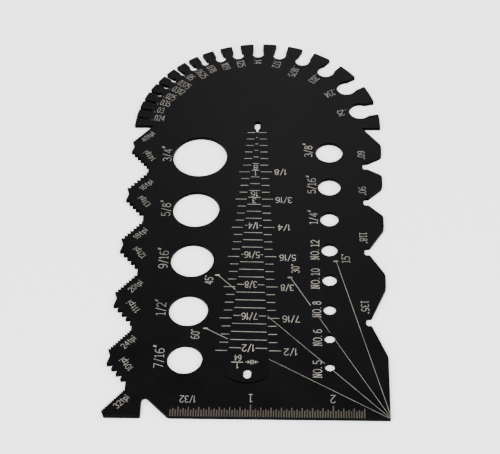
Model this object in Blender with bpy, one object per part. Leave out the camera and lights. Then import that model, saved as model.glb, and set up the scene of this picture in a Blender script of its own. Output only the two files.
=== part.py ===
"""Thread pitch gauge with a loose taper gauge in its slot.

A flat black steel plate has pitch teeth down its left edge, wire slots round its top, point angles
down its right edge and sizing holes in two columns. A long taper gauge of the same sheet lies in the
tapered slot down the middle. Drawing coordinates: X runs along the rule edge from the centre line,
Y runs up the plate from the rule edge. Everything is in metres.
"""

import math

import bmesh
import bpy
from mathutils import Vector

MM = 0.001
INCH = 0.0254

# Sheet and overall form
SHEET_THICKNESS = 1.5 * MM
PLATE_HALF_WIDTH = 1.75 * INCH
CHORD_ERROR = 0.012 * MM
CORNER_SETBACK = 0.4 * MM

# Pitch teeth down the left edge, threads per inch from the foot upwards
THREADS_PER_INCH = (32, 10, 24, 11, 20, 12, 18, 13, 16, 14, 40)
TOOTH_ANGLE = math.radians(60.0)
CREST_FLAT = 1 / 8
ROOT_FLAT = 1 / 4
EDGE_CUT_DEPTH = 6.65 * MM
TIP_LAND = 4.1 * MM
VALLEY_LAND = 2.8 * MM
TIP_DENT = 0.85 * MM
FOOT_TIP_DROP = 0.4 * MM
LEFT_STEP_RISE = 0.9 * MM
STEP_LAND = 0.4 * MM

# Foot notch and rule edge
FOOT_WIDTH = 12.1875 * MM
FOOT_NOTCH_WIDTH = 8.45 * MM
FOOT_NOTCH_ANGLE = math.radians(45.0)
FOOT_NOTCH_RADIUS = 1.0 * MM
RULE_CORNER_SETBACK = 0.9 * MM

# Point angle notches down the right edge, from the rule edge upwards
POINT_ANGLES = (135.0, 118.0, 90.0, 60.0)
STRAIGHT_EDGE_LENGTH = 23.0 * MM
NOTCH_LAND = 5.6 * MM
NOTCH_DEPTH = 5.0 * MM
RELIEF_WIDTH = 3.3 * MM
RELIEF_DEPTH = 1.75 * MM
RELIEF_SETBACK = 0.8 * MM
NOTCH_SETBACK = 1.0 * MM
SHOULDER_RISE = 8.65 * MM

# Wire slots round the top: direction in degrees from the right, slot width in inches, and diameter
# in inches of the round hole that the slot runs into
WIRE_SLOTS = (
    (13.1, 0.250, 5 / 16), (32.5, 0.234, 9 / 32), (50.1, 0.203, 1 / 4), (65.6, 0.1875, 7 / 32),
    (79.1, 0.172, 3 / 16), (91.0, 0.140, 11 / 64), (102.1, 0.125, 11 / 64), (112.0, 0.109, 5 / 32),
    (121.0, 0.078, 7 / 64), (128.5, 0.0625, 7 / 64), (135.6, 0.050, 0.073), (142.3, 0.0453, 5 / 64),
    (148.6, 0.041, 0.073), (155.1, 0.039, 0.070), (161.7, 0.035, 0.050), (167.6, 0.030, 0.043),
    (173.5, 0.024, 0.035),
)
ROOT_CENTRE_DEPTH = 3.8 * MM
ROOT_DEPTH_PER_DIAMETER = 0.30

# Sizing holes in two columns, bolt sizes in inches from the rule edge upwards
BOLT_HOLES = (7 / 16, 1 / 2, 9 / 16, 5 / 8, 3 / 4)
BOLT_COLUMN_X = -19.8 * MM
BOLT_FIRST_EDGE = 15.9 * MM
BOLT_WEB = 7.49 * MM
SCREW_HOLES = (0.125, 0.138, 0.164, 0.190, 0.216, 1 / 4, 5 / 16, 3 / 8)
SCREW_COLUMN_X = 26.0 * MM
SCREW_FIRST_EDGE = 17.4 * MM
SCREW_WEB = 7.7 * MM

# Tapered slot: it widens by one sixty-fourth of an inch at each graduation
GRADUATION_STEP = 3.21 * MM
WIDTH_PER_GRADUATION = INCH / 64
HALF_INCH_LINE_Y = 24.85 * MM
HALF_INCH_GRADUATION = 32
SLOT_X = 0.15 * MM
SLOT_FLANK_FOOT_Y = 15.2 * MM
SLOT_END_SAG = 2.9 * MM
KEYHOLE_WIDTH = 1.9 * MM
KEYHOLE_TOP_DROP = 0.77 * MM
KEYHOLE_LENGTH = 4.2 * MM

# Loose taper gauge: its clearance at each flank, at the round end and below the keyhole
FLANK_CLEARANCE = 0.15 * MM
END_CLEARANCE = 0.45 * MM
TIP_CLEARANCE = 1.3 * MM
HANG_HOLE_WIDTH = 2.4 * MM
HANG_HOLE_LENGTH = 4.0 * MM
HANG_HOLE_MARGIN = 1.55 * MM
END_CORNER_SETBACK = 0.9 * MM

# Blackened steel finishes
STEEL_METALLIC = 0.6
PLATE_COLOUR = (0.012, 0.012, 0.014)
PLATE_ROUGHNESS = 0.42
TAPER_COLOUR = (0.013, 0.013, 0.015)
TAPER_ROUGHNESS = 0.40

# Lengths that follow from the ones above
HALF_ANGLES = [math.radians(angle) / 2 for angle in POINT_ANGLES]
MOUTH_HEIGHTS = [RELIEF_WIDTH + 2 * NOTCH_DEPTH * math.tan(half) for half in HALF_ANGLES]
RIGHT_STEP_Y = STRAIGHT_EDGE_LENGTH + sum(MOUTH_HEIGHTS) + NOTCH_LAND * len(POINT_ANGLES) + SHOULDER_RISE
LEFT_STEP_Y = RIGHT_STEP_Y + LEFT_STEP_RISE
PLATE_LENGTH = RIGHT_STEP_Y + PLATE_HALF_WIDTH
UPRIGHT_X = FOOT_WIDTH - PLATE_HALF_WIDTH
RULE_ZERO_X = UPRIGHT_X + FOOT_NOTCH_WIDTH
SLOT_APEX_Y = HALF_INCH_LINE_Y + HALF_INCH_GRADUATION * GRADUATION_STEP
SLOT_SLOPE = WIDTH_PER_GRADUATION / 2 / GRADUATION_STEP
KEYHOLE_TOP_Y = SLOT_APEX_Y - KEYHOLE_TOP_DROP
KEYHOLE_FOOT_Y = KEYHOLE_TOP_Y - KEYHOLE_LENGTH
TAPER_TIP_Y = KEYHOLE_FOOT_Y - TIP_CLEARANCE
TAPER_FOOT_Y = SLOT_FLANK_FOOT_Y - SLOT_END_SAG + END_CLEARANCE
HANG_HOLE_Y = TAPER_FOOT_Y + HANG_HOLE_MARGIN + HANG_HOLE_LENGTH / 2


def clear_scene():
    """Remove every object that is in the file."""
    for item in list(bpy.data.objects):
        bpy.data.objects.remove(item, do_unlink=True)


def direction(angle):
    """Unit vector at an angle in radians."""
    return Vector((math.cos(angle), math.sin(angle)))


def arc_points(centre, radius, start, end):
    """Points along an arc, close enough for the chord error."""
    step = 2 * math.acos(max(0.0, 1 - CHORD_ERROR / radius))
    count = max(2, math.ceil(abs(end - start) / step))
    return [centre + radius * direction(start + (end - start) * i / count) for i in range(count + 1)]


def circle_points(centre, radius):
    """Points round a full circle, the first one not repeated."""
    return arc_points(centre, radius, 0.0, 2 * math.pi)[:-1]


def rounded_corner(before, corner, after, setback):
    """Arc that leaves each side of a corner at the setback."""
    to_before = (before - corner).normalized()
    to_after = (after - corner).normalized()
    half_opening = to_before.angle(to_after) / 2
    radius = setback * math.tan(half_opening)
    centre = corner + (to_before + to_after).normalized() * (setback / math.cos(half_opening))
    first = corner + to_before * setback - centre
    last = corner + to_after * setback - centre
    start = math.atan2(first.y, first.x)
    turn = math.atan2(first.cross(last), first.dot(last))
    return arc_points(centre, radius, start, start + turn)


def rounded_path(corners):
    """Round the inner corners of an open path of (point, setback) pairs."""
    points = [corners[0][0]]
    for index in range(1, len(corners) - 1):
        corner, setback = corners[index]
        if setback:
            points += rounded_corner(corners[index - 1][0], corner, corners[index + 1][0], setback)
        else:
            points.append(corner)
    points.append(corners[-1][0])
    return points


def oblong_points(centre, width, length):
    """Outline of an upright oblong hole with round ends."""
    reach = Vector((0.0, (length - width) / 2))
    upper = arc_points(centre + reach, width / 2, 0.0, math.pi)
    lower = arc_points(centre - reach, width / 2, math.pi, 2 * math.pi)
    return upper + lower


def foot_edge():
    """Rule edge from the foot's outer corner, over the foot notch, to the right corner."""
    apex = Vector((UPRIGHT_X, FOOT_NOTCH_WIDTH / math.tan(FOOT_NOTCH_ANGLE)))
    apex_setback = FOOT_NOTCH_RADIUS / math.tan(FOOT_NOTCH_ANGLE / 2)
    return rounded_path([
        (Vector((TIP_DENT - PLATE_HALF_WIDTH, 0.0)), 0),
        (Vector((UPRIGHT_X, 0.0)), CORNER_SETBACK),
        (apex, apex_setback),
        (Vector((RULE_ZERO_X, 0.0)), RULE_CORNER_SETBACK),
        (Vector((PLATE_HALF_WIDTH, 0.0)), 0),
    ])


def point_angle_edge():
    """Right edge upwards: straight edge, four point-angle notches and the shoulder."""
    mouth_x = PLATE_HALF_WIDTH
    flank_x = PLATE_HALF_WIDTH - NOTCH_DEPTH
    relief_x = flank_x - RELIEF_DEPTH
    corners = [(Vector((mouth_x, 0.0)), 0)]
    foot_y = STRAIGHT_EDGE_LENGTH
    for mouth_height in MOUTH_HEIGHTS:
        middle_y = foot_y + mouth_height / 2
        lower_y = middle_y - RELIEF_WIDTH / 2
        upper_y = middle_y + RELIEF_WIDTH / 2
        corners += [
            (Vector((mouth_x, foot_y)), NOTCH_SETBACK),
            (Vector((flank_x, lower_y)), CORNER_SETBACK),
            (Vector((relief_x, lower_y)), RELIEF_SETBACK),
            (Vector((relief_x, upper_y)), RELIEF_SETBACK),
            (Vector((flank_x, upper_y)), CORNER_SETBACK),
            (Vector((mouth_x, foot_y + mouth_height)), NOTCH_SETBACK),
        ]
        foot_y += mouth_height + NOTCH_LAND
    corners += [
        (Vector((mouth_x, foot_y)), NOTCH_SETBACK),
        (Vector((relief_x, RIGHT_STEP_Y)), CORNER_SETBACK),
        (Vector((mouth_x, RIGHT_STEP_Y)), 0),
    ]
    return rounded_path(corners)


def wire_slot(centre, slot_angle, width, root_diameter):
    """One keyhole slot in the rim, from its right mouth corner to its left one."""
    inward = -direction(slot_angle)
    across = Vector((inward.y, -inward.x))
    rim = PLATE_HALF_WIDTH
    mouth_depth = rim - math.sqrt(rim ** 2 - (width / 2) ** 2)
    root_depth = ROOT_CENTRE_DEPTH + ROOT_DEPTH_PER_DIAMETER * root_diameter
    root_radius = max(root_diameter, width) / 2
    throat = math.sqrt(root_radius ** 2 - (width / 2) ** 2)
    root_centre = centre - inward * (rim - root_depth)
    spread = math.pi / 2 + math.atan2(throat, width / 2)
    inward_angle = math.atan2(inward.y, inward.x)
    root = arc_points(root_centre, root_radius, inward_angle + spread, inward_angle - spread)
    edge_offset = across * (width / 2)
    mouth = centre - inward * (rim - mouth_depth)
    setback = min(CORNER_SETBACK, width / 2)
    tangent = across * (2 * setback)
    right = rounded_corner(mouth - edge_offset - tangent, mouth - edge_offset, root[0], setback)
    left = rounded_corner(root[-1], mouth + edge_offset, mouth + edge_offset + tangent, setback)
    return right + root + left


def rim_edge():
    """Half-round top from the right step to the left step, with its wire slots."""
    centre = Vector((0.0, RIGHT_STEP_Y))
    points = []
    angle = 0.0
    for slot_degrees, slot_inches, root_inches in WIRE_SLOTS:
        slot = wire_slot(centre, math.radians(slot_degrees), slot_inches * INCH, root_inches * INCH)
        first = slot[0] - centre
        last = slot[-1] - centre
        points += arc_points(centre, PLATE_HALF_WIDTH, angle, math.atan2(first.y, first.x))[:-1]
        points += slot
        angle = math.atan2(last.y, last.x)
    end_angle = math.pi - math.asin(LEFT_STEP_RISE / PLATE_HALF_WIDTH)
    return points + arc_points(centre, PLATE_HALF_WIDTH, angle, end_angle)[1:]


def pitch_flank(tip, valley, pitch):
    """Threaded flank from an outer tip to the foot of a valley, as sharp sixty-degree teeth."""
    along = (valley - tip).normalized()
    outward = Vector((-abs(along.y), along.x * math.copysign(1.0, along.y)))
    depth = pitch * (1 - CREST_FLAT - ROOT_FLAT) / (2 * math.tan(TOOTH_ANGLE / 2))
    side = depth * math.tan(TOOTH_ANGLE / 2)
    station = depth / 2 * abs(along.y) / along.x
    points = []
    while True:
        for advance, height in ((0.0, 1), (CREST_FLAT * pitch, 1), (side, -1), (ROOT_FLAT * pitch, -1)):
            station += advance
            point = tip + along * station + outward * (height * depth / 2)
            if point.x >= valley.x:
                share = (valley.x - points[-1].x) / (point.x - points[-1].x)
                return points + [points[-1].lerp(point, share)]
            points.append(point)
        station += side


def pitch_edge():
    """Left edge downwards from the step to the foot, with its threaded flanks."""
    outer_x = -PLATE_HALF_WIDTH
    inner_x = outer_x + EDGE_CUT_DEPTH
    tip_count = len(THREADS_PER_INCH) // 2
    top_valley_y = LEFT_STEP_Y - STEP_LAND
    period = (top_valley_y + FOOT_TIP_DROP + VALLEY_LAND / 2) / (tip_count + 0.5)
    flank_rise = (period - TIP_LAND - VALLEY_LAND) / 2
    points = []
    for index, threads in reversed(list(enumerate(THREADS_PER_INCH))):
        tip_y = period * ((index + 1) // 2) - FOOT_TIP_DROP
        upwards = 1 if index % 2 == 0 else -1
        tip = Vector((outer_x, tip_y + upwards * TIP_LAND / 2))
        valley = Vector((inner_x, tip.y + upwards * flank_rise))
        flank = pitch_flank(tip, valley, INCH / threads)
        if upwards > 0:
            points += flank[::-1]
            points.append(Vector((outer_x + TIP_DENT, tip_y)))
        else:
            points += flank
    return points[:-1]


def plate_outline():
    """Closed outer outline of the plate, anticlockwise."""
    step_corner = Vector((EDGE_CUT_DEPTH - PLATE_HALF_WIDTH, LEFT_STEP_Y))
    return foot_edge()[:-1] + point_angle_edge() + rim_edge()[1:] + [step_corner] + pitch_edge()


def slot_half_width(height):
    """Half width of the tapered slot at a height above the rule edge."""
    return SLOT_SLOPE * (SLOT_APEX_Y - height)


def round_end(clearance, sag):
    """Round wide end of the slot or of the taper gauge, left to right, with eased corners."""
    foot_half = slot_half_width(SLOT_FLANK_FOOT_Y) - clearance
    radius = (foot_half ** 2 + sag ** 2) / (2 * sag)
    centre = Vector((SLOT_X, SLOT_FLANK_FOOT_Y - sag + radius))
    swing = math.asin(foot_half / radius) - END_CORNER_SETBACK / radius
    arc = arc_points(centre, radius, -math.pi / 2 - swing, -math.pi / 2 + swing)
    left = Vector((SLOT_X - foot_half, SLOT_FLANK_FOOT_Y))
    right = Vector((SLOT_X + foot_half, SLOT_FLANK_FOOT_Y))
    up_left_flank = Vector((SLOT_SLOPE, 1.0))
    up_right_flank = Vector((-SLOT_SLOPE, 1.0))
    left_corner = rounded_corner(left + up_left_flank, left, arc[0], END_CORNER_SETBACK)
    right_corner = rounded_corner(arc[-1], right, right + up_right_flank, END_CORNER_SETBACK)
    return left_corner[:-1] + arc + right_corner[1:]


def slot_outline():
    """Tapered slot with its keyhole at the narrow end."""
    radius = KEYHOLE_WIDTH / 2
    neck_half = slot_half_width(KEYHOLE_FOOT_Y)
    opening = math.asin(neck_half / radius)
    low_centre = Vector((SLOT_X, KEYHOLE_FOOT_Y + radius * math.cos(opening)))
    high_centre = Vector((SLOT_X, KEYHOLE_TOP_Y - radius))
    right_side = arc_points(low_centre, radius, opening - math.pi / 2, 0.0)
    top = arc_points(high_centre, radius, 0.0, math.pi)
    left_side = arc_points(low_centre, radius, math.pi, 1.5 * math.pi - opening)
    return round_end(0.0, SLOT_END_SAG) + right_side + top + left_side


def taper_outline():
    """Outline of the loose taper gauge, inside the slot by its clearances."""
    tip_half = slot_half_width(TAPER_TIP_Y) - FLANK_CLEARANCE
    tip = [Vector((SLOT_X + tip_half, TAPER_TIP_Y)), Vector((SLOT_X - tip_half, TAPER_TIP_Y))]
    return round_end(FLANK_CLEARANCE, SLOT_END_SAG - END_CLEARANCE) + tip


def hole_column(column_x, first_edge, web, sizes):
    """Outlines of one column of round holes, spaced by an equal web of metal."""
    outlines = []
    lower_edge = first_edge
    for size in sizes:
        radius = size * INCH / 2
        outlines.append(circle_points(Vector((column_x, lower_edge + radius)), radius))
        lower_edge += 2 * radius + web
    return outlines


def black_steel(name, colour, roughness):
    """Blackened steel finish of one piece."""
    material = bpy.data.materials.new(name)
    material.use_nodes = True
    shader = material.node_tree.nodes["Principled BSDF"]
    shader.inputs["Base Color"].default_value = (*colour, 1.0)
    shader.inputs["Metallic"].default_value = STEEL_METALLIC
    shader.inputs["Roughness"].default_value = roughness
    return material


def sheet_piece(name, outlines, origin, material, parent):
    """Cut one flat piece from the sheet: outer outline first, then its holes."""
    shape = bmesh.new()
    edges = []
    for outline in outlines:
        ring = [shape.verts.new((*(point - origin), 0.0)) for point in outline]
        edges += [shape.edges.new((ring[i - 1], ring[i])) for i in range(len(ring))]
    bmesh.ops.triangle_fill(shape, edges=edges, use_beauty=True, normal=(0.0, 0.0, 1.0))
    raised = bmesh.ops.extrude_face_region(shape, geom=list(shape.faces))["geom"]
    raised_points = [item for item in raised if isinstance(item, bmesh.types.BMVert)]
    bmesh.ops.translate(shape, verts=raised_points, vec=(0.0, 0.0, SHEET_THICKNESS))
    bmesh.ops.recalc_face_normals(shape, faces=list(shape.faces))
    mesh = bpy.data.meshes.new(name)
    shape.to_mesh(mesh)
    shape.free()
    mesh.materials.append(material)
    piece = bpy.data.objects.new(name, mesh)
    piece.location = (*origin, 0.0)
    piece.parent = parent
    bpy.context.collection.objects.link(piece)
    return piece


def build():
    """Make the plate and the loose taper gauge about the middle of the plate."""
    clear_scene()
    middle = bpy.data.objects.new("plate_middle", None)
    middle.location = (0.0, -PLATE_LENGTH / 2, 0.0)
    bpy.context.collection.objects.link(middle)
    holes = hole_column(BOLT_COLUMN_X, BOLT_FIRST_EDGE, BOLT_WEB, BOLT_HOLES)
    holes += hole_column(SCREW_COLUMN_X, SCREW_FIRST_EDGE, SCREW_WEB, SCREW_HOLES)
    plate_finish = black_steel("plate_black", PLATE_COLOUR, PLATE_ROUGHNESS)
    sheet_piece("gauge_plate", [plate_outline(), slot_outline(), *holes], Vector((0.0, 0.0)),
                plate_finish, middle)
    hang_hole = Vector((SLOT_X, HANG_HOLE_Y))
    taper_finish = black_steel("taper_black", TAPER_COLOUR, TAPER_ROUGHNESS)
    oblong = oblong_points(hang_hole, HANG_HOLE_WIDTH, HANG_HOLE_LENGTH)
    sheet_piece("taper_gauge", [taper_outline(), oblong], hang_hole, taper_finish, middle)


build()
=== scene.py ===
"""Dressed scene of a flat black gauge with pitch teeth, wire slots, holes, a rule and a taper gauge.

All sizes are given as on the drawing of the plate: millimetres, X from the plate's centre line and Y
from the rule edge. The part's own frame has its origin half a plate length above the rule edge.
"""
import logging
import math
from dataclasses import dataclass, field
from enum import Enum

import bmesh
import bpy
from bpy.types import ID, Material, Mesh, Node, NodeSocket, NodeTree, Object
from mathutils import Matrix, Vector
from mathutils.geometry import tessellate_polygon


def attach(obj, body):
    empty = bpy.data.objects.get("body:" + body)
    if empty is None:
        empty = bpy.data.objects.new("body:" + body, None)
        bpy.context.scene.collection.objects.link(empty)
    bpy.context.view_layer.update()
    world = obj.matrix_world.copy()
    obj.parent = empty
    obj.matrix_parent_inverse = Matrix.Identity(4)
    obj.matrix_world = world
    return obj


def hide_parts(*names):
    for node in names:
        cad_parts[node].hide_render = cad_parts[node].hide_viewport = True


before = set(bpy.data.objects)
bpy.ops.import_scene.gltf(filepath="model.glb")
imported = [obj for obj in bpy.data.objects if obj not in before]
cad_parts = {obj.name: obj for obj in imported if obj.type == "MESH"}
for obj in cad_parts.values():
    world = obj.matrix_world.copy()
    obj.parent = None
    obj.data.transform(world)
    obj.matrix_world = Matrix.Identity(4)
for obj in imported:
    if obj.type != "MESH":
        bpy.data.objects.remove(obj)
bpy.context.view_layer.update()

LOG = logging.getLogger("gauge")

MM = 0.001
THIRTY_SECOND_INCH = 25.4 / 32
PHOTO_WIDTH = 500
RULE_EDGE_TO_MIDDLE = 84.1292
SHEET_TOP = 1.5
MARK_RELIEF = 0.015
MARK_ROOT = 0.03
FACE_TOP = SHEET_TOP - MARK_RELIEF
SLOT_X = 0.15
SLOT_APEX_Y = 127.57
SLOT_SLOPE = 0.06182

HAIR = 0.0006
HAIR_STEPS = 6
DOT_SIDES = 10
CAP_STEPS = 6
MITRE_LIMIT = 0.6
LETTER_GAP = 0.20
DOT_SHARE = 0.62
LEAST_DOT = 0.16

WHOLE = (0.0, 1.0)
MIX_FACTOR, MIX_LOW, MIX_HIGH, MIX_RESULT = 0, 6, 7, 2

Point = tuple[float, float]
Triple = tuple[float, float, float]
Polyline = list[Point]
Outline = list[tuple[Vector, Vector]]
Figures = tuple[float, float, float, tuple[tuple[str, float, float, float], ...]]


class Slot(Enum):
    """Material slots that the part's record names."""

    PLATE = "plate_black"
    TAPER = "taper_black"
    MARKS = "etched_marks"


# Node trees

def feed(node: Node, inputs: dict[str | int, object]) -> None:
    """Link or set inputs of a node.

    Args:
        node: Node that gets them.
        inputs: Name or place of each input, to the socket that feeds it or to its fixed value.
    """
    for title, value in inputs.items():
        if isinstance(value, NodeSocket):
            node.id_data.links.new(value, node.inputs[title])
        else:
            node.inputs[title].default_value = value


def add_node(tree: NodeTree, kind: str, inputs: dict[str | int, object] | None = None,
             **properties: object) -> Node:
    """Add a node and feed its inputs.

    Args:
        tree: Tree that gets the node.
        kind: Full name of the node's type.
        inputs: What its inputs get.
        properties: Properties to set on it first.

    Returns:
        The node.
    """
    node = tree.nodes.new(kind)
    for title, value in properties.items():
        setattr(node, title, value)
    feed(node, inputs or {})
    return node


def math_node(tree: NodeTree, operation: str, first: object, second: object,
              clamp: bool = False) -> NodeSocket:
    """Work out two sockets or numbers, and hold the result between 0 and 1 where clamp is set."""
    node = add_node(tree, "ShaderNodeMath", {0: first, 1: second}, operation=operation, use_clamp=clamp)
    return node.outputs[0]


def noise(tree: NodeTree, vector: NodeSocket, scale: object, detail: float,
          roughness: float = 0.5) -> NodeSocket:
    """Give the factor of a Noise Texture that reads a vector socket."""
    inputs = {"Vector": vector, "Scale": scale, "Detail": detail, "Roughness": roughness}
    return add_node(tree, "ShaderNodeTexNoise", inputs).outputs["Fac"]


def value_range(tree: NodeTree, value: NodeSocket, source: Point, target: Point) -> NodeSocket:
    """Map a value from a source range to a target range, clamped."""
    ends = dict(zip(("From Min", "From Max", "To Min", "To Max"), (*source, *target)))
    return add_node(tree, "ShaderNodeMapRange", {"Value": value, **ends}).outputs["Result"]


def colour_mix(tree: NodeTree, factor: NodeSocket, low: object, high: object) -> NodeSocket:
    """Mix two colours, each a socket or three numbers, by a factor."""
    low, high = (value if isinstance(value, NodeSocket) else (*value, 1.0) for value in (low, high))
    return add_node(tree, "ShaderNodeMix", {MIX_FACTOR: factor, MIX_LOW: low, MIX_HIGH: high},
                    data_type="RGBA").outputs[MIX_RESULT]


def face_value(tree: NodeTree, name: str) -> NodeSocket:
    """Read a value that a sheet's mesh keeps on its faces."""
    return add_node(tree, "ShaderNodeAttribute", attribute_name=name).outputs["Fac"]


def object_coordinates(tree: NodeTree) -> NodeSocket:
    """Give the object coordinate socket of a tree."""
    return tree.nodes.new("ShaderNodeTexCoord").outputs["Object"]


def new_group(name: str, inputs: dict[str, float], outputs: tuple[str, ...]) -> NodeTree:
    """Start a shader node group with float inputs and outputs.

    Args:
        name: Name of the group.
        inputs: Input name to default value.
        outputs: Output names.

    Returns:
        The new group, which holds its input and output nodes.
    """
    tree = bpy.data.node_groups.new(name, "ShaderNodeTree")
    for title, default in inputs.items():
        socket = tree.interface.new_socket(title, in_out="INPUT", socket_type="NodeSocketFloat")
        socket.default_value = default
    for title in outputs:
        tree.interface.new_socket(title, in_out="OUTPUT", socket_type="NodeSocketFloat")
    tree.nodes.new("NodeGroupInput").name = "in"
    tree.nodes.new("NodeGroupOutput").name = "out"
    return tree


def sheet_grain_group() -> NodeTree:
    """Build the grain of a rolled and blackened sheet: cloudy film, fine tooth and drawn lines.

    Returns:
        The group, with a cloud mask, a fine mask and a bump height.
    """
    tree = new_group("sheet_grain", {"Cloud Scale": 60.0, "Tooth Scale": 5200.0, "Line Weight": 0.35},
                     ("Cloud", "Tooth", "Height"))
    source = tree.nodes["in"].outputs
    place = object_coordinates(tree)
    cloud = noise(tree, place, source["Cloud Scale"], 4.0, 0.6)
    tooth = noise(tree, place, source["Tooth Scale"], 2.0)
    stretch = add_node(tree, "ShaderNodeMapping", {"Vector": place, "Scale": (60.0, 4200.0, 60.0)})
    lines = noise(tree, stretch.outputs["Vector"], 1.0, 2.0)
    drawn = math_node(tree, "MULTIPLY", lines, source["Line Weight"])
    height = math_node(tree, "ADD", tooth, drawn)
    feed(tree.nodes["out"], {"Cloud": cloud, "Tooth": tooth, "Height": height})
    return tree


def edge_wear_group() -> NodeTree:
    """Build the wear of a rim: where the black film has rubbed thin on the rounded edges.

    Returns:
        The group, with one mask that is 1 where bare steel shows.
    """
    tree = new_group("edge_wear", {"Amount": 0.5, "Patch Scale": 900.0}, ("Bare",))
    source = tree.nodes["in"].outputs
    patch = noise(tree, object_coordinates(tree), source["Patch Scale"], 3.0, 0.65)
    raised = math_node(tree, "SUBTRACT", patch, 0.42)
    spread = math_node(tree, "MULTIPLY", raised, 4.0, clamp=True)
    thin = math_node(tree, "MULTIPLY", spread, face_value(tree, "rim"))
    bare = math_node(tree, "MULTIPLY", thin, source["Amount"], clamp=True)
    feed(tree.nodes["out"], {"Bare": bare})
    return tree


# Finishes

def principled(name: str) -> tuple[Material, NodeTree, Node]:
    """Start a material.

    Args:
        name: Name of the material.

    Returns:
        The material, its tree and its Principled shader.
    """
    material = bpy.data.materials.new(name)
    material.use_nodes = True
    return material, material.node_tree, material.node_tree.nodes["Principled BSDF"]


@dataclass(frozen=True)
class BlackenedSteel:
    """Sheet steel under a thin black film, satin, a little cloudy, rubbed at the rims; its cut walls
    take the darkest film colour, full metal and more roughness, painted shade that keeps them darker
    than the face.
    """

    name: str
    deep: Triple = (0.0015, 0.0015, 0.0018)
    clouded: Triple = (0.0025, 0.0025, 0.0030)
    bare: Triple = (0.07, 0.07, 0.073)
    # Colour of the cut walls: the film's darkest black, used as painted shade so the walls read darker
    # than the face.
    wall_black_and_shade: Triple = (0.0015, 0.0015, 0.0018)
    metallic: float = 0.55
    bare_metallic: float = 0.5
    specular: float = 0.10
    edge_tint: float = 0.60
    roughness: Point = (0.30, 0.38)
    wall_roughness: float = 0.15
    wear: float = 0.08
    cloud_scale: float = 60.0
    colour_clouds: Point = (0.35, 0.65)
    sheen_clouds: Point = (0.3, 0.7)
    bump_strength: float = 0.12
    bump_depth: float = 0.00002

    def material(self, grain: NodeTree, wear: NodeTree) -> Material:
        """Build the material.

        Args:
            grain: The sheet grain group.
            wear: The edge wear group.

        Returns:
            The finished material.
        """
        material, tree, shader = principled(self.name)
        sheet = add_node(tree, "ShaderNodeGroup", {"Cloud Scale": self.cloud_scale}, node_tree=grain)
        rub = add_node(tree, "ShaderNodeGroup", {"Amount": self.wear}, node_tree=wear)
        cloud, bare, wall = sheet.outputs["Cloud"], rub.outputs["Bare"], face_value(tree, "wall")
        film = colour_mix(tree, value_range(tree, cloud, self.colour_clouds, WHOLE),
                          self.deep, self.clouded)
        # On the walls the clouds and rubbed rims give way to the darkest black with full metal, painted
        # shade on the walls, and to more roughness for a matt cut.
        surface = colour_mix(tree, wall, colour_mix(tree, bare, film, self.bare), self.wall_black_and_shade)
        rough = value_range(tree, cloud, self.sheen_clouds, self.roughness)
        rough = math_node(tree, "ADD", rough, math_node(tree, "MULTIPLY", wall, self.wall_roughness))
        metal = math_node(tree, "MULTIPLY", bare, self.bare_metallic)
        metal = math_node(tree, "ADD", metal, self.metallic, clamp=True)
        metal = math_node(tree, "ADD", metal, wall, clamp=True)
        bump = add_node(tree, "ShaderNodeBump", {"Strength": self.bump_strength,
                                                 "Distance": self.bump_depth,
                                                 "Height": sheet.outputs["Height"]})
        feed(shader, {"Base Color": surface, "Roughness": rough, "Metallic": metal,
                      "Normal": bump.outputs["Normal"], "Specular IOR Level": self.specular,
                      "Specular Tint": (self.edge_tint,) * 3 + (1.0,)})
        return material


@dataclass(frozen=True)
class FilledMarks:
    """Pale fill of the etched lines and figures, thinner in places; roughness from thin to full."""

    name: str
    full: Triple = (0.162, 0.149, 0.127)
    thin: Triple = (0.079, 0.071, 0.060)
    roughness: Point = (0.72, 0.50)
    specular: float = 0.5
    patch_scale: float = 260.0
    patches: Point = (0.36, 0.6)
    specks: Point = (0.3, 0.5)
    speck_cover: Point = (0.75, 1.0)

    def material(self, grain: NodeTree) -> Material:
        """Build the material.

        Args:
            grain: The sheet grain group.

        Returns:
            The finished material.
        """
        material, tree, shader = principled(self.name)
        sheet = add_node(tree, "ShaderNodeGroup", {"Cloud Scale": self.patch_scale}, node_tree=grain)
        fill = value_range(tree, sheet.outputs["Cloud"], self.patches, WHOLE)
        speck = value_range(tree, sheet.outputs["Tooth"], self.specks, self.speck_cover)
        cover = math_node(tree, "MULTIPLY", fill, speck)
        feed(shader, {"Base Color": colour_mix(tree, cover, self.thin, self.full),
                      "Roughness": value_range(tree, cover, WHOLE, self.roughness),
                      "Specular IOR Level": self.specular})
        return material


@dataclass(frozen=True)
class PaleFloor:
    """Matt pale paper that the gauge lies on."""

    name: str = "pale_floor"
    colour: Triple = (0.93, 0.93, 0.93)
    roughness: float = 0.9
    specular: float = 0.1

    def material(self) -> Material:
        """Build the material.

        Returns:
            The finished material.
        """
        material, _, shader = principled(self.name)
        feed(shader, {"Base Color": (*self.colour, 1.0), "Roughness": self.roughness,
                      "Specular IOR Level": self.specular})
        return material


@dataclass
class Finishes:
    """The materials of the gauge, built once from shared node groups."""

    plate: Material = field(init=False)
    taper: Material = field(init=False)
    marks: Material = field(init=False)
    rule: Material = field(init=False)

    def __post_init__(self) -> None:
        """Build the node groups and the materials that use them."""
        grain = sheet_grain_group()
        wear = edge_wear_group()
        self.plate = BlackenedSteel("plate_blackened").material(grain, wear)
        self.taper = BlackenedSteel("taper_blackened", cloud_scale=75.0, wear=0.10,
                                    roughness=(0.29, 0.37)).material(grain, wear)
        self.marks = FilledMarks("mark_fill").material(grain)
        self.rule = FilledMarks("rule_fill", full=(0.0335, 0.0280, 0.0206),
                                thin=(0.0208, 0.0171, 0.0125), specular=0.2).material(grain)


# Meshes and objects

def linked(name: str, data: ID) -> Object:
    """Make an object and link it to the scene.

    Args:
        name: Name of the object.
        data: Its mesh, light or camera.

    Returns:
        The object.
    """
    piece = bpy.data.objects.new(name, data)
    bpy.context.scene.collection.objects.link(piece)
    return piece


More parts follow.
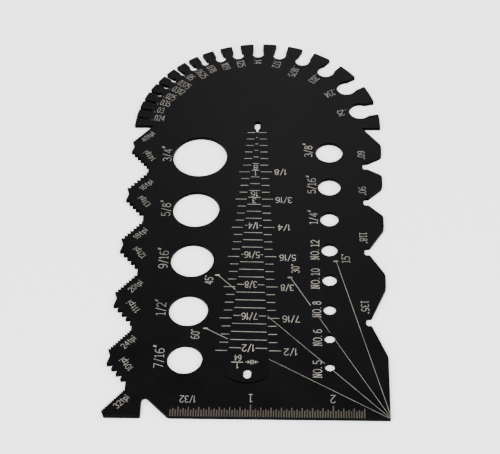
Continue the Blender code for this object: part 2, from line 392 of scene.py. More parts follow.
def next_places(outlines: list[list]) -> list[int]:
    """Count through the points of closed outlines, one outline after the other.

    Args:
        outlines: The outlines.

    Returns:
        For each point, the place of the next one round its outline.
    """
    following = []
    for outline in outlines:
        start, size = len(following), len(outline)
        following += [start + (place + 1) % size for place in range(size)]
    return following


def joined_piece(name: str, meshes: list[Mesh], finish: Material) -> Object:
    """Join plain meshes to one object.

    Args:
        name: Name of the object.
        meshes: Meshes to join.
        finish: Its material.

    Returns:
        The linked object.
    """
    build = bmesh.new()
    for mesh in meshes:
        build.from_mesh(mesh)
    joined = bpy.data.meshes.new(name)
    build.to_mesh(joined)
    build.free()
    joined.materials.append(finish)
    joined.polygons.foreach_set("material_index", [0] * len(joined.polygons))
    return linked(name, joined)


# Single-line lettering

def arc(x: float, y: float, wide: float, high: float, start: float, end: float,
        steps: int) -> Polyline:
    """Give points on an ellipse with its centre at x and y, from one angle in degrees to another."""
    angles = (math.radians(start + (end - start) * step / steps) for step in range(steps + 1))
    return [(x + wide * math.cos(turn), y + high * math.sin(turn)) for turn in angles]


def ring(x: float, y: float, wide: float, high: float, steps: int) -> Polyline:
    """Give the points of a whole ellipse, each once."""
    return arc(x, y, wide, high, 0, 360, steps)[:-1]


@dataclass(frozen=True)
class Glyph:
    """One letter of the single-line lettering, one unit high."""

    width: float
    open_strokes: tuple[Polyline, ...] = ()
    loops: tuple[Polyline, ...] = ()
    dots: tuple[Point, ...] = ()


def lettering() -> dict[str, Glyph]:
    """Draw the letters that the gauge uses.

    Returns:
        Character to glyph.
    """
    six_bowl = ring(0.26, 0.29, 0.26, 0.29, 16)
    six_back = arc(0.30, 0.46, 0.30, 0.54, 62, 178, 8)
    nine_bowl, nine_back = ([(0.52 - x, 1.0 - y) for x, y in line] for line in (six_bowl, six_back))
    return {
        "0": Glyph(0.50, loops=(ring(0.25, 0.5, 0.25, 0.5, 20),)),
        "1": Glyph(0.34, ([(0.17, 0.0), (0.17, 1.0)], [(0.0, 0.88), (0.17, 1.0)],
                          [(0.0, 0.0), (0.34, 0.0)])),
        "l": Glyph(0.20, ([(0.16, 0.0), (0.16, 1.0)], [(0.0, 0.80), (0.15, 0.97)])),
        "2": Glyph(0.50, (arc(0.25, 0.73, 0.24, 0.27, 165, -25, 9) + [(0.0, 0.0)],
                          [(0.0, 0.0), (0.50, 0.0)])),
        "3": Glyph(0.50, (arc(0.23, 0.76, 0.23, 0.24, 150, -85, 9),
                          arc(0.24, 0.27, 0.26, 0.27, 85, -150, 9))),
        "4": Glyph(0.54, ([(0.40, 0.0), (0.40, 1.0)], [(0.40, 1.0), (0.0, 0.30)],
                          [(0.0, 0.30), (0.54, 0.30)])),
        "5": Glyph(0.50, ([(0.46, 1.0), (0.07, 1.0)], [(0.07, 1.0), (0.04, 0.56)],
                          arc(0.24, 0.32, 0.26, 0.32, 128, -150, 10))),
        "6": Glyph(0.52, (six_back,), (six_bowl,)),
        "7": Glyph(0.50, ([(0.0, 1.0), (0.50, 1.0)], [(0.50, 1.0), (0.17, 0.0)])),
        "8": Glyph(0.52, loops=(ring(0.26, 0.77, 0.20, 0.23, 16), ring(0.26, 0.27, 0.26, 0.27, 16))),
        "9": Glyph(0.52, (nine_back,), (nine_bowl,)),
        "/": Glyph(0.36, ([(0.0, -0.08), (0.36, 1.08)],)),
        ".": Glyph(0.28, dots=((0.06, 0.04),)),
        "\"": Glyph(0.20, ([(0.0, 0.92), (0.08, 1.24)], [(0.13, 0.92), (0.21, 1.24)])),
        "*": Glyph(0.20, loops=(ring(0.08, 0.94, 0.09, 0.07, 8),)),
        " ": Glyph(0.0),
        "N": Glyph(0.56, ([(0.08, 0.0), (0.08, 1.0)], [(0.08, 1.0), (0.48, 0.0)],
                          [(0.48, 0.0), (0.48, 1.0)], [(0.0, 0.0), (0.16, 0.0)],
                          [(0.40, 1.0), (0.56, 1.0)])),
        "O": Glyph(0.60, loops=(ring(0.3, 0.5, 0.3, 0.5, 20),)),
        "t": Glyph(0.30, ([(0.12, 0.95), (0.12, 0.18)] + arc(0.24, 0.16, 0.12, 0.16, 200, 270, 4),
                          [(0.0, 0.66), (0.30, 0.66)])),
        "p": Glyph(0.42, ([(0.02, 0.68), (0.02, -0.30)],), (ring(0.22, 0.34, 0.20, 0.33, 14),)),
        "i": Glyph(0.08, ([(0.04, 0.0), (0.04, 0.66)],), dots=((0.04, 0.92),)),
    }


@dataclass
class MarkMesh:
    """Collects flat closed strokes that stand a hair above the sheet's face."""

    name: str
    vertices: list[Vector] = field(default_factory=list)
    faces: list[tuple[int, ...]] = field(default_factory=list)
    strokes: int = 0

    def _add(self, rims: list[Polyline], tops: list[tuple[int, ...]]) -> None:
        """Add one closed flat body; neighbours differ by a hair so that their tops never coincide.

        Args:
            rims: Outlines, counter-clockwise outside and clockwise inside.
            tops: Faces of the upper side, over the points of all outlines in order.
        """
        self.strokes += 1
        base = len(self.vertices)
        points = [point for rim in rims for point in rim]
        count = len(points)
        for level in (FACE_TOP - MARK_ROOT, SHEET_TOP - HAIR * (self.strokes % HAIR_STEPS)):
            self.vertices += [Vector((x, y - RULE_EDGE_TO_MIDDLE, level)) * MM for x, y in points]
        body = [(here, there, there + count, here + count)
                for here, there in enumerate(next_places(rims))]
        for face in tops:
            body += [tuple(count + corner for corner in face), face[::-1]]
        self.faces += [tuple(base + corner for corner in face) for face in body]

    def dot(self, x: float, y: float, radius: float) -> None:
        """Add a round dot with its centre at x and y."""
        self._add([ring(x, y, radius, radius, DOT_SIDES)], [tuple(range(DOT_SIDES))])

    def stroke(self, line: Polyline, width: float, closed: bool = False) -> None:
        """Add a line of even width, with round ends where it is open.

        Args:
            line: Points of the centre line.
            width: Stroke width.
            closed: Whether the last point joins the first.
        """
        points = [Vector(point) for point in line]
        count = len(points)
        half = width / 2
        left, right = [], []
        for place, point in enumerate(points):
            runs = []
            if place or closed:
                runs.append((point - points[place - 1]).normalized())
            if place + 1 < count or closed:
                runs.append((points[(place + 1) % count] - point).normalized())
            run = sum(runs, Vector((0.0, 0.0))).normalized()
            side = Vector((-run.y, run.x)) * (half / max(run.dot(runs[0]), MITRE_LIMIT))
            left.append(tuple(point + side))
            right.append(tuple(point - side))
        if closed:
            last = 2 * count - 1
            self._add([right, left[::-1]], [(here, there, last - there, last - here)
                                            for here, there in enumerate(next_places([left]))])
            return
        caps = []
        for tip, neck in ((points[-1], points[-2]), (points[0], points[1])):
            turn = math.degrees(math.atan2(*(tip - neck).yx))
            caps.append(arc(*tip, half, half, turn - 90, turn + 90, CAP_STEPS)[1:-1])
        rim = right + caps[0] + left[::-1] + caps[1]
        cap = len(caps[0])
        left_at = [2 * count + cap - 1 - place for place in range(count)]
        tops = [(place, place + 1, left_at[place + 1], left_at[place]) for place in range(count - 1)]
        tops += [tuple(range(count - 1, count + cap + 1)), (*range(left_at[0], len(rim)), 0)]
        self._add([rim], tops)

    def build(self, finish: Material) -> Object:
        """Make the mesh object.

        Args:
            finish: Material of the strokes.

        Returns:
            The linked object.
        """
        mesh = bpy.data.meshes.new(self.name)
        mesh.from_pydata(self.vertices, [], self.faces)
        mesh.materials.append(finish)
        mesh.update()
        return linked(self.name, mesh)


@dataclass(frozen=True)
class Label:
    """A line of figures, centred on a point of the drawing; no length leaves it its natural one."""

    text: str
    x: float
    y: float
    turn: float
    height: float
    length: float
    stroke: float

    def draw(self, letters: dict[str, Glyph], marks: MarkMesh) -> None:
        """Draw the label.

        Args:
            letters: Glyphs by character.
            marks: Mesh that gets the strokes.
        """
        natural = sum(letters[char].width for char in self.text) + LETTER_GAP * (len(self.text) - 1)
        squeeze = 1.0 if not self.length else (self.length - self.stroke) / (natural * self.height)
        scale = Vector((self.height * squeeze, self.height - self.stroke))
        turn = Matrix.Rotation(math.radians(self.turn), 2)
        centre = Vector((self.x, self.y))
        shift = 0.0

        def placed(point: Point) -> Point:
            """Give a point of the letter that is being drawn on the drawing."""
            flat = Vector(((point[0] + shift - natural / 2) * scale.x, (point[1] - 0.5) * scale.y))
            return tuple(centre + turn @ flat)

        for char in self.text:
            glyph = letters[char]
            for line in glyph.open_strokes:
                marks.stroke([placed(point) for point in line], self.stroke)
            for line in glyph.loops:
                marks.stroke([placed(point) for point in line], self.stroke, closed=True)
            for point in glyph.dots:
                marks.dot(*placed(point), max(self.stroke * DOT_SHARE, LEAST_DOT))
            shift += glyph.width + LETTER_GAP


# Repeated lines

class LineRow:
    """Geometry Nodes tree that lays a row of graduation lines."""

    NEVER = 1000
    LENGTHS = ("First X", "First Y", "Step X", "Step Y", "Line Width", "Foot Height", "Depth",
               "Length", "Growth", "Second Extra", "Third Extra", "Fourth Extra")
    OTHERS = {"Count": "Int", "First Index": "Int", "Second Every": "Int", "Third Every": "Int",
              "Fourth Every": "Int", "Turn": "Float", "Skip Third": "Bool", "Finish": "Material"}

    def __init__(self) -> None:
        """Build the tree once for all rows."""
        self.tree = bpy.data.node_groups.new("line_row", "GeometryNodeTree")
        face = self.tree.interface
        for title, kind in {**dict.fromkeys(self.LENGTHS, "Float"), **self.OTHERS}.items():
            face.new_socket(title, in_out="INPUT", socket_type="NodeSocket" + kind)
        face.new_socket("Geometry", in_out="OUTPUT", socket_type="NodeSocketGeometry")
        self.given = self.tree.nodes.new("NodeGroupInput").outputs
        self._wire()

    def _multiple(self, index: NodeSocket, every: str) -> NodeSocket:
        """Give 1 where the index is a multiple of a named input, else 0."""
        rest = math_node(self.tree, "MODULO", index, self.given[every])
        return math_node(self.tree, "LESS_THAN", rest, 0.5)

    def _vector(self, *parts: object) -> NodeSocket:
        """Join three sockets or numbers to a vector."""
        return add_node(self.tree, "ShaderNodeCombineXYZ", dict(enumerate(parts))).outputs[0]

    def _wire(self) -> None:
        """Wire the tree: a row of points, one closed bar on each, realised and finished."""
        tree, given = self.tree, self.given
        start = self._vector(given["First X"], given["First Y"], given["Foot Height"])
        step = self._vector(given["Step X"], given["Step Y"], 0.0)
        row = add_node(tree, "GeometryNodeMeshLine",
                       {"Count": given["Count"], "Start Location": start, "Offset": step},
                       mode="OFFSET", count_mode="TOTAL")

        place = add_node(tree, "GeometryNodeInputIndex").outputs[0]
        index = math_node(tree, "ADD", place, given["First Index"])
        growth = math_node(tree, "MULTIPLY", index, given["Growth"])
        length = math_node(tree, "ADD", given["Length"], growth)
        for rank in ("Second", "Third", "Fourth"):
            chosen = self._multiple(index, rank + " Every")
            more = math_node(tree, "MULTIPLY", chosen, given[rank + " Extra"])
            length = math_node(tree, "ADD", length, more)
        keep = add_node(tree, "FunctionNodeBooleanMath",
                        {0: self._multiple(index, "Third Every"), 1: given["Skip Third"]},
                        operation="NAND")

        bar = add_node(tree, "GeometryNodeMeshCube", {"Size": (1.0, 1.0, 1.0)})
        lift = add_node(tree, "GeometryNodeTransform",
                        {"Geometry": bar.outputs["Mesh"], "Translation": (0.5, 0.0, 0.5)})
        spread = add_node(tree, "GeometryNodeInstanceOnPoints", {
            "Points": row.outputs["Mesh"],
            "Selection": keep.outputs[0],
            "Instance": lift.outputs["Geometry"],
            "Rotation": self._vector(0.0, 0.0, given["Turn"]),
            "Scale": self._vector(length, given["Line Width"], given["Depth"])})
        real = add_node(tree, "GeometryNodeRealizeInstances",
                        {"Geometry": spread.outputs["Instances"]})
        dress = add_node(tree, "GeometryNodeSetMaterial",
                         {"Geometry": real.outputs["Geometry"], "Material": given["Finish"]})
        add_node(tree, "NodeGroupOutput", {0: dress.outputs["Geometry"]})

    def lay(self, name: str, finish: Material, **values: float) -> Mesh:
        """Lay one row and give it as a plain mesh.

        Args:
            name: Name of the mesh.
            finish: Material of the lines.
            values: Inputs in millimetres and radians, with underscores for the spaces in their names.

        Returns:
            The mesh, in metres in the part's frame.
        """
        holder = linked(name, bpy.data.meshes.new(name + "_holder"))
        modifier = holder.modifiers.new(name, "NODES")
        modifier.node_group = self.tree
        sockets = {item.name: item.identifier for item in self.tree.interface.items_tree
                   if item.in_out == "INPUT"}
        filled = {"Second Every": self.NEVER, "Third Every": self.NEVER, "Fourth Every": self.NEVER,
                  "Depth": MARK_RELIEF + MARK_ROOT, "Foot Height": FACE_TOP - MARK_ROOT,
                  "Finish": finish}
        filled.update({title.replace("_", " "): value for title, value in values.items()})
        for title, value in filled.items():
            modifier[sockets[title]] = value * MM if title in self.LENGTHS else value
        shown = holder.evaluated_get(bpy.context.evaluated_depsgraph_get())
        mesh = bpy.data.meshes.new_from_object(shown)
        mesh.name = name
        holder.modifiers.remove(modifier)
        bpy.data.objects.remove(holder)
        return mesh


# Stamped sheets

@dataclass
class StampedSheet:
    """A flat sheet cut to an outline, with its rims rounded by tumbling."""

    node: str
    body: str
    slot: Slot
    swell: float = 0.0
    foot_swell: float = 0.0
    rim_radius: float = 0.04
    rim_steps: int = 3
    merge_distance: float = 0.01
    upward: float = 0.9
    sharp_angle: float = 32.0

    def build(self, finish: Material) -> Object:
        """Build the rounded copy of the sheet and let it stand for the plain one.

        Args:
            finish: Material of the sheet.

        Returns:
            The linked object.
        """
        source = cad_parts[self.node]
        build = bmesh.new()
        build.from_mesh(source.data)
        bmesh.ops.remove_doubles(build, verts=build.verts, dist=self.merge_distance * MM)
        upper = {face for face in build.faces if face.normal.z > self.upward}
        rims = {edge for face in upper for edge in face.edges
                if sum(other in upper for other in edge.link_faces) == 1}
        mesh = self._mesh([self._swollen(outline) for outline in self._outlines(rims, upper)])
        build.free()
        mesh.materials.append(finish)
        piece = linked(self.node + "_rounded", mesh)
        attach(piece, self.body)
        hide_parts(self.node)
        LOG.info("%s: %d faces", piece.name, len(mesh.polygons))
        return piece

    @staticmethod
    def _outlines(rims: set[bmesh.types.BMEdge], upper: set[bmesh.types.BMFace]) -> list[Outline]:
        """Trace the outlines of the upper face.

        Args:
            rims: Edges between the upper face and the walls.
            upper: Faces of the upper side.

        Returns:
            One list per outline, with each point's position and its direction into the sheet.
        """
        after, sides = {}, {}
        for edge in rims:
            face = next(face for face in edge.link_faces if face in upper)
            loop = next(loop for loop in face.loops if loop.edge == edge)
            first, second = loop.vert, loop.link_loop_next.vert
            run = (second.co - first.co).to_2d().normalized()
            after[first] = second
            for vert in (first, second):
                sides.setdefault(vert, []).append(Vector((-run.y, run.x)))
        outlines = []
        while after:
            vert = min(after, key=lambda corner: corner.index)
            outline = []
            while vert in after:
                one, other = sides[vert]
                inward = (one + other) / max(1.0 + one.dot(other), 0.5)
                outline.append((vert.co.to_2d(), inward))
                vert = after.pop(vert)
            outlines.append(outline)
        return outlines

    def _swollen(self, outline: Outline) -> Outline:
        """Push an outer outline out by the swell; holes stay as they are.

        A side that looks down the drawing goes over to the foot's own swell as it turns to the
        rule edge.

        Args:
            outline: Points with their directions into the sheet.

        Returns:
            The outline, moved where it runs round the sheet.
        """
        corners = [place for place, _ in outline]
        area = sum(one.cross(other) for one, other in zip(corners, corners[1:] + corners[:1]))
        if area < 0:
            return outline
        moved = []
        for place, inward in outline:
            foot_share = min(max(inward.y, 0.0), 1.0)
            reach = self.swell + (self.foot_swell - self.swell) * foot_share
            moved.append((place - inward * reach * MM, inward))
        return moved

    def _profile(self) -> list[Point]:
        """Give the wall's section, from the lower face up, as inset and height.

        Returns:
            The section's points.
        """
        rounding = []
        for step in range(self.rim_steps + 1):
            turn = math.pi / 2 * step / self.rim_steps
            rounding.append((self.rim_radius * (1 - math.sin(turn)),
                             self.rim_radius * (1 - math.cos(turn))))
        return rounding + [(inset, FACE_TOP - height) for inset, height in reversed(rounding)]

    def _mesh(self, outlines: list[Outline]) -> Mesh:
        """Make the sheet: two faces, the walls and the rounded rims between them.

        Args:
            outlines: Outline points with their inward directions.

        Returns:
            The mesh, with one value on each face that is 1 on the rims and one for the walls.
        """
        points = [point for outline in outlines for point in outline]
        count = len(points)
        following = next_places(outlines)
        profile = self._profile()
        vertices, faces, rim, wall = [], [], [], []
        for inset, height in profile:
            for place, inward in points:
                vertices.append((place + inward * inset * MM).to_3d() + Vector((0.0, 0.0, height * MM)))
        for level in range(len(profile) - 1):
            low, high = level * count, (level + 1) * count
            faces += [(low + here, low + there, high + there, high + here)
                      for here, there in enumerate(following)]
            rim += [float(level != self.rim_steps)] * count
            wall += [float(level == self.rim_steps)] * count
        sides = len(faces)
        top = len(vertices) - count
        inset = self.rim_radius * MM
        flat = [[(place + inward * inset).to_3d() for place, inward in outline] for outline in outlines]
        for face in tessellate_polygon(flat):
            one, two, three = (vertices[corner] for corner in face)
            if (two - one).cross(three - one).z < 0:
                face = face[::-1]
            faces += [tuple(top + corner for corner in face), face[::-1]]
        mesh = bpy.data.meshes.new(self.node + "_rounded")
        mesh.from_pydata(vertices, [], faces)
        level_faces = [0.0] * (len(faces) - sides)
        for name, values in (("rim", rim + level_faces), ("wall", wall + level_faces)):
            mesh.attributes.new(name, "FLOAT", "FACE").data.foreach_set("value", values)
        mesh.set_sharp_from_angle(angle=math.radians(self.sharp_angle))
        mesh.polygons.foreach_set("use_smooth", [place < sides for place in range(len(faces))])
        mesh.update()
        return mesh


# The two pieces of the gauge

def slot_half(y: float) -> float:
    """Give half the width of the tapered slot at a height."""
    return SLOT_SLOPE * (SLOT_APEX_Y - y)


@dataclass
class GaugePlate:
    """The plate with its rule, slot graduations, angle lines and figures.

    An angle line is given by its angle and its runs: upper and lower end above the corner, and width.
    A group of figures is given by turn, height and stroke, then text, place and length of each. A wire
    size is given by the angle of its slot, text and place.
    """

    finishes: Finishes
    letters: dict[str, Glyph]
    rows: LineRow
    rule_zero: float = -23.8125
    rule_count: int = 76
    rule_foot: float = 0.07
    tick_length: float = 2.45
    tick_width: float = 0.40
    tick_extra: float = 0.50
    inch_extra: float = 0.95
    first_y: float = 127.6
    pitch: float = 3.21
    line_gap: float = 0.30
    line_length: float = 2.75
    line_width: float = 0.225
    line_extra: float = 1.05
    corner: Point = (44.8, -0.26)
    angle_lines: tuple[tuple[float, tuple[Triple, ...]], ...] = (
        (15.0, ((61.8, 2.0, 0.14),)),
        (30.0, ((54.8, 43.3, 0.24), (38.3, 1.0, 0.125))),
        (45.0, ((55.6, 49.7, 0.24), (38.9, 0.65, 0.13))),
        (60.0, ((33.7, 29.6, 0.22), (21.9, 0.5, 0.12))))
    end_mark: tuple[float, float, float, float] = (-0.7, 0.35, 0.05, 0.54)
    holes: tuple[Triple, ...] = (
        (26.0, 18.988, 1.588), (26.0, 30.028, 1.753), (26.0, 41.563, 2.083), (26.0, 53.759, 2.413),
        (26.0, 66.615, 2.743))
    hole_clearance: float = 0.42
    shortest_run: float = 0.3
    figures: tuple[Figures, ...] = (
        (90.0, 3.1, 0.20, (
            ('3/4"', -31.4, 110.5, 7.2), ('5/8"', -30.1, 84.7, 7.2), ('9/16"', -29.4, 62.5, 8.8),
            ('1/2"', -28.7, 41.8, 6.4), ('7/16"', -27.9, 22.3, 8.8))),
        (90.0, 2.9, 0.25, (
            ('3/8"', 18.6, 112.5, 6.6), ('5/16"', 19.9, 96.0, 8.4), ('1/4"', 20.6, 81.0, 6.2),
            ("NO. 12", 21.1, 66.5, 8.6), ("NO. 10", 21.3, 54.2, 8.6), ("NO. 8", 21.8, 41.5, 6.6),
            ("NO. 6", 22.1, 30.2, 6.6), ("NO. 5", 22.1, 18.0, 6.6))),
        (-90.0, 2.6, 0.165, (
            ("60*", 37.3, 110.2, 3.9), ("90*", 37.4, 93.2, 3.9), ("118*", 37.4, 71.8, 4.7),
            ("135*", 37.4, 42.5, 5.2))),
        (90.0, 2.8, 0.205, (
            ("15*", 31.4, 62.9, 3.8), ("30*", 14.7, 58.3, 3.8), ("45*", -13.7, 53.4, 3.8),
            ("60*", -17.0, 31.2, 3.8))),
        (180.0, 2.6, 0.18, (("l/32", -17.9, 6.35, 4.9),)),
        (180.0, 3.0, 0.21, (("1", 1.5, 6.9, 1.2),)),
        (180.0, 3.0, 0.19, (("2", 26.9, 6.9, 1.6),)),
        (180.0, 2.7, 0.26, (
            ("l/8", 8.9, 101.8, 4.3), ("3/l6", 10.3, 88.7, 5.8), ("l/4", 10.6, 76.2, 4.3),
            ("5/l6", 12.1, 63.0, 5.6), ("3/8", 12.1, 50.3, 4.3), ("7/l6", 13.6, 37.5, 5.7),
            ("l/2", 13.6, 24.5, 4.3))),
        (50.0, 2.2, 0.165, (
            ("40tpi", -39.2, 119.0, 5.4), ("l6tpi", -37.9, 95.5, 5.4), ("l8tpi", -38.1, 73.2, 5.4),
            ("20tpi", -37.9, 50.5, 5.4), ("24tpi", -38.2, 27.8, 5.4), ("32tpi", -38.4, 5.2, 5.4))),
        (130.0, 2.2, 0.165, (
            ("l4tpi", -37.9, 109.5, 5.4), ("l3tpi", -37.9, 87.8, 5.4), ("l2tpi", -37.7, 64.8, 5.4),
            ("lltpi", -37.9, 42.0, 5.4), ("l0tpi", -38.1, 19.2, 5.4))))
    wires: tuple[tuple[float, str, float, float], ...] = (
        (13.1, ".25", 30.3, 131.2), (32.5, ".234", 26.3, 141.2), (50.1, ".203", 20.5, 148.8),
        (65.6, ".l875", 12.8, 152.8), (79.1, ".l72", 6.4, 157.0), (91.0, ".l4", -0.7, 158.5),
        (102.1, ".l25", -7.0, 157.3), (112.0, ".l09", -12.7, 156.0), (121.0, ".078", -17.9, 154.4),
        (128.5, ".0625", -21.5, 151.7), (135.6, ".05", -25.6, 149.9), (142.3, ".0375", -27.7, 145.9),
        (148.6, ".03l2", -29.7, 142.8), (155.1, ".025", -32.2, 139.4), (161.7, ".035", -34.0, 136.1),
        (167.6, ".03", -35.5, 132.4), (173.5, ".024", -35.6, 128.4))
    wire_shift: float = 0.45
    wire_digit: float = 1.22
    wire_point: float = 0.9
    wire_height: float = 2.9
    wire_stroke: float = 0.16

    def build(self) -> None:
        """Build the sheet and all that is marked on it."""
        StampedSheet("gauge_plate", "plate", Slot.PLATE).build(self.finishes.plate)
        marks = MarkMesh("plate_figures")
        for label in self._labels():
            label.draw(self.letters, marks)
        self._angle_lines(marks)
        for piece in (marks.build(self.finishes.marks), self._rule_ticks(), self._slot_lines()):
            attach(piece, "plate")
            LOG.info("%s: %d faces", piece.name, len(piece.data.polygons))

    def _rule_ticks(self) -> Object:
        """Lay the ticks of the rule, with longer ones at sixteenths, eighths and inches.

        Returns:
            One object with all of them.
        """
        ticks = self.rows.lay("rule_ticks", self.finishes.rule, Count=self.rule_count, First_Index=1,
                              First_X=self.rule_zero + THIRTY_SECOND_INCH,
                              First_Y=self.rule_foot - RULE_EDGE_TO_MIDDLE,
                              Step_X=THIRTY_SECOND_INCH, Turn=math.pi / 2,
                              Length=self.tick_length, Line_Width=self.tick_width,
                              Second_Every=2, Second_Extra=self.tick_extra,
                              Third_Every=4, Third_Extra=self.tick_extra,
                              Fourth_Every=32, Fourth_Extra=self.inch_extra)
        return joined_piece("rule_ticks", [ticks], self.finishes.rule)

    def _slot_lines(self) -> Object:
        """Lay the graduations on both sides of the slot.

        Returns:
            One object with all of them.
        """
        meshes = []
        for first, count, extra in ((2, 3, 0.0), (5, 28, self.line_extra)):
            y = self.first_y - self.pitch * first
            reach = slot_half(y) + self.line_gap
            for name, side, turn in (("right_lines", 1.0, 0.0), ("left_lines", -1.0, math.pi)):
                meshes.append(self.rows.lay(
                    name, self.finishes.marks, Count=count, First_Index=first, Turn=turn,
                    First_X=SLOT_X + side * reach, First_Y=y - RULE_EDGE_TO_MIDDLE,
                    Step_X=side * SLOT_SLOPE * self.pitch, Step_Y=-self.pitch,
                    Length=self.line_length, Line_Width=self.line_width,
                    Third_Every=4, Third_Extra=extra))
        return joined_piece("plate_graduations", meshes, self.finishes.marks)

    def _angle_lines(self, marks: MarkMesh) -> None:
        """Draw the lines that would meet just outside the square corner, each with its end mark.

        Args:
            marks: Mesh that gets the strokes.
        """
        corner = Vector(self.corner)
        mark_from, mark_to, rise, stroke = self.end_mark
        for angle, runs in self.angle_lines:
            way = Vector((-math.tan(math.radians(angle)), 1.0))
            for high, low, width in runs:
                for top, foot in self._clear_runs(corner, way, high, low):
                    marks.stroke([tuple(corner + way * top), tuple(corner + way * foot)], width)
            end = corner + way * (runs[0][0] + rise)
            marks.stroke([(end.x + mark_from, end.y), (end.x + mark_to, end.y)], stroke)

    def _clear_runs(self, corner: Vector, way: Vector, high: float, low: float) -> list[Point]:
        """Cut a line where it crosses a hole.

        Args:
            corner: Where the lines meet.
            way: Step along the line for one millimetre up.
            high: Upper end, in millimetres above the corner.
            low: Lower end.

        Returns:
            The runs that are left, from the upper one down.
        """
        runs = [(high, low)]
        for x, y, radius in self.holes:
            centre = Vector((x, y))
            nearest = (centre - corner).dot(way) / way.length_squared
            miss = (corner + way * nearest - centre).length
            keep_off = radius + self.hole_clearance
            if miss >= keep_off:
                continue
            reach = math.sqrt(keep_off ** 2 - miss ** 2) / way.length
            cut = [part for top, foot in runs for part in ((top, max(foot, nearest + reach)),
                                                           (min(top, nearest - reach), foot))]
            runs = [(top, foot) for top, foot in cut if top - foot > self.shortest_run]
        return runs

    def _labels(self) -> list[Label]:
        """List the figures on the plate, with the wire sizes last.

        Returns:
            All labels.
        """
        labels = [Label(text, x, y, turn, height, length, stroke)
                  for turn, height, stroke, texts in self.figures for text, x, y, length in texts]
        for angle, text, x, y in self.wires:
            outward = Vector((math.cos(math.radians(angle)), math.sin(math.radians(angle))))
            centre = Vector((x, y)) + outward * self.wire_shift
            length = self.wire_digit * (len(text) - 1) + self.wire_point
            labels.append(Label(text, centre.x, centre.y, angle + 180.0, self.wire_height, length,
                                self.wire_stroke))
        return labels


@dataclass
class TaperGauge:
    """The loose wedge with its own graduations and figures.

    A figure in a line is given by the line's index, text, height and length, a small figure by text,
    place, height of its letters and length.
    """

    finishes: Finishes
    letters: dict[str, Glyph]
    rows: LineRow
    swell: float = 0.135
    foot_swell: float = -0.15
    first_index: int = 3
    first_y: float = 128.3
    pitch: float = 3.2
    margin: float = 0.22
    tilt: float = -1.0
    line_width: float = 0.225
    broken_width: float = 0.27
    broken_inset: float = 0.15
    figure_gap: float = 0.35
    inline: tuple[tuple[int, str, float, float], ...] = (
        (16, "l/4", 77.0, 3.5), (20, "5/l6", 64.2, 5.3), (24, "3/8", 51.5, 4.1),
        (28, "7/l6", 38.5, 5.4), (32, "l/2", 25.9, 4.1))
    inline_height: float = 2.8
    inline_stroke: float = 0.26
    small: tuple[tuple[str, float, float, float, float], ...] = (
        ("8", 0.15, 104.1, 2.35, 1.65), ("l", 0.25, 101.3, 2.4, 0.0), ("l6", 0.1, 91.4, 2.5, 2.6),
        ("3", 0.1, 88.35, 2.3, 0.0), ("64", -3.0, 22.1, 2.3, 2.3), ("l", -3.0, 19.0, 2.1, 0.0))
    small_stroke: float = 0.22
    fraction_bar: tuple[Point, Point] = ((-4.9, 20.4), (-1.4, 20.4))
    fraction_stroke: float = 0.32
    arrows_at: Point = (1.5, 20.5)

    def build(self) -> None:
        """Build the wedge and all that is marked on it."""
        sheet = StampedSheet("taper_gauge", "taper", Slot.TAPER, self.swell, self.foot_swell)
        sheet.build(self.finishes.taper)
        marks = MarkMesh("taper_figures")
        for index, text, y, length in self.inline:
            label = Label(text, SLOT_X, y, 180.0, self.inline_height, length, self.inline_stroke)
            label.draw(self.letters, marks)
            self._broken_line(marks, index, length)
        for text, x, y, height, length in self.small:
            Label(text, x, y, 180.0, height, length, self.small_stroke).draw(self.letters, marks)
        marks.stroke(list(self.fraction_bar), self.fraction_stroke)
        self._spacing_arrows(marks)
        for piece in (marks.build(self.finishes.marks), self._lines()):
            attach(piece, "taper")
            LOG.info("%s: %d faces", piece.name, len(piece.data.polygons))

    def _broken_line(self, marks: MarkMesh, index: int, gap: float) -> None:
        """Draw the two ends of a line that its figure breaks, where there is room for them.

        Args:
            marks: Mesh that gets the strokes.
            index: Line index.
            gap: Length of the figure.
        """
        y = self.first_y - self.pitch * index
        half = slot_half(y) - self.margin
        fall = math.tan(math.radians(self.tilt))
        near = gap / 2 + self.figure_gap
        if half - near < self.figure_gap:
            return
        for side in (-1.0, 1.0):
            marks.stroke([(SLOT_X + side * reach, y + side * reach * fall)
                          for reach in (near, half - self.broken_inset)], self.broken_width)

    def _spacing_arrows(self, marks: MarkMesh) -> None:
        """Draw the sign for the spacing of two lines: an arrow on each side of three bars.

        Args:
            marks: Mesh that gets the strokes.
        """
        x, y = self.arrows_at
        bar_step, bar_half, bar_width = 0.45, 0.75, 0.2
        tail, barb, tip, arrow_width = 2.0, 1.3, 0.75, 0.24
        for shift in (-bar_step, 0.0, bar_step):
            marks.stroke([(x + shift, y - bar_half), (x + shift, y + bar_half)], bar_width)
        for side in (-1.0, 1.0):
            for reach, rise in ((tail, 0.0), (barb, -bar_step), (barb, bar_step)):
                marks.stroke([(x + side * reach, y + rise), (x + side * tip, y)], arrow_width)

    def _lines(self) -> Object:
        """Lay the unbroken lines across the wedge.

        Returns:
            One object with all of them.
        """
        start = self.first_y - self.pitch * self.first_index
        half = slot_half(start) - self.margin
        widening = SLOT_SLOPE * self.pitch
        fall = math.tan(math.radians(self.tilt))
        meshes = []
        for name, first, count, skip in (("upper_lines", self.first_index, 10, False),
                                         ("lower_lines", self.first_index + 10, 20, True)):
            steps = first - self.first_index
            y = start - self.pitch * steps - RULE_EDGE_TO_MIDDLE
            reach = half + widening * steps
            meshes.append(self.rows.lay(
                name, self.finishes.marks, Count=count, First_Index=first,
                First_X=SLOT_X - reach, First_Y=y - reach * fall, Step_X=-widening,
                Step_Y=-self.pitch - widening * fall, Turn=math.radians(self.tilt),
                Length=2 * reach - 2 * widening * first, Growth=2 * widening,
                Line_Width=self.line_width, Third_Every=4, Skip_Third=skip))
        return joined_piece("taper_graduations", meshes, self.finishes.marks)


# Studio

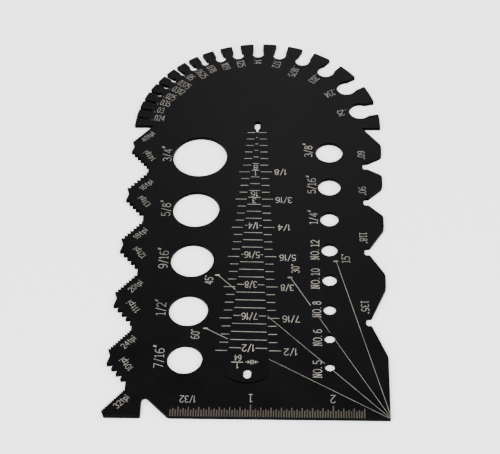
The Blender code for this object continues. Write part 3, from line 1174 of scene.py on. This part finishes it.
@dataclass
class Studio:
    """Pale floor, soft lights and the camera of the photograph.

    A light is given by name, place, aim, size and power. Lights and floor are in metres, and the
    camera's eye is in millimetres.
    """

    yaw: float = 3.885
    elevation: float = 49.362
    roll: float = -2.613
    focal_pixels: float = 1430.3
    eye: Triple = (20.49, -323.58, 370.33)
    sensor_width: float = 36.0
    nearest: float = 0.01
    floor_reach: float = 4.0
    floor_level: float = -0.00002
    lights: tuple[tuple[str, Triple, Triple, float, float], ...] = (
        ("front_box", (-0.25, -0.75, 1.1), (0.0, 0.0, 0.0), 1.8, 72.0),
        ("side_box", (0.9, 0.15, 0.8), (0.0, 0.0, 0.0), 0.7, 12.0),
        ("back_box", (-0.01, 1.16, 1.14), (0.01, 0.04, 0.0), 0.35, 2.9))

    def build(self) -> None:
        """Build floor, lights and camera."""
        self._floor()
        self._lights()
        self._camera()

    def _floor(self) -> None:
        """Lay the floor just under the gauge."""
        mesh = bpy.data.meshes.new("floor")
        mesh.from_pydata([(across * self.floor_reach, along * self.floor_reach, self.floor_level)
                          for across, along in ((-1, -1), (1, -1), (1, 1), (-1, 1))],
                         [], [(0, 1, 2, 3)])
        mesh.materials.append(PaleFloor().material())
        linked("floor", mesh)

    def _lights(self) -> None:
        """Set the soft light all round and three soft boxes."""
        world = bpy.data.worlds.new("studio")
        world.use_nodes = True
        feed(world.node_tree.nodes["Background"], {"Color": (1.0, 1.0, 1.0, 1.0), "Strength": 1.0})
        bpy.context.scene.world = world
        for name, place, aim, size, power in self.lights:
            light = bpy.data.lights.new(name, "AREA")
            light.size = size
            light.energy = power
            lamp = linked(name, light)
            lamp.location = place
            lamp.rotation_euler = (Vector(aim) - Vector(place)).to_track_quat("-Z", "Y").to_euler()

    def _camera(self) -> None:
        """Set the camera where the photograph was taken from."""
        yaw, rise, roll = (math.radians(turn) for turn in (self.yaw, self.elevation, self.roll))
        ahead = Vector((-math.sin(yaw) * math.cos(rise), math.cos(yaw) * math.cos(rise),
                        -math.sin(rise)))
        across = Vector((math.cos(yaw), math.sin(yaw), 0.0))
        upward = across.cross(ahead)
        right = across * math.cos(roll) + upward * math.sin(roll)
        up = upward * math.cos(roll) - across * math.sin(roll)
        camera = bpy.data.cameras.new("photo_camera")
        camera.sensor_fit = "HORIZONTAL"
        camera.sensor_width = self.sensor_width
        camera.lens = self.focal_pixels / PHOTO_WIDTH * self.sensor_width
        camera.clip_start = self.nearest
        holder = linked("photo_camera", camera)
        turn = Matrix((right, up, -ahead)).transposed().to_4x4()
        holder.matrix_world = Matrix.Translation(Vector(self.eye) * MM) @ turn
        bpy.context.scene.camera = holder


def main() -> None:
    """Build the gauge and its studio."""
    logging.basicConfig(level=logging.INFO, format="%(name)s %(message)s")
    finishes = Finishes()
    letters = lettering()
    rows = LineRow()
    GaugePlate(finishes, letters, rows).build()
    TaperGauge(finishes, letters, rows).build()
    Studio().build()


if __name__ == "__main__":
    main()
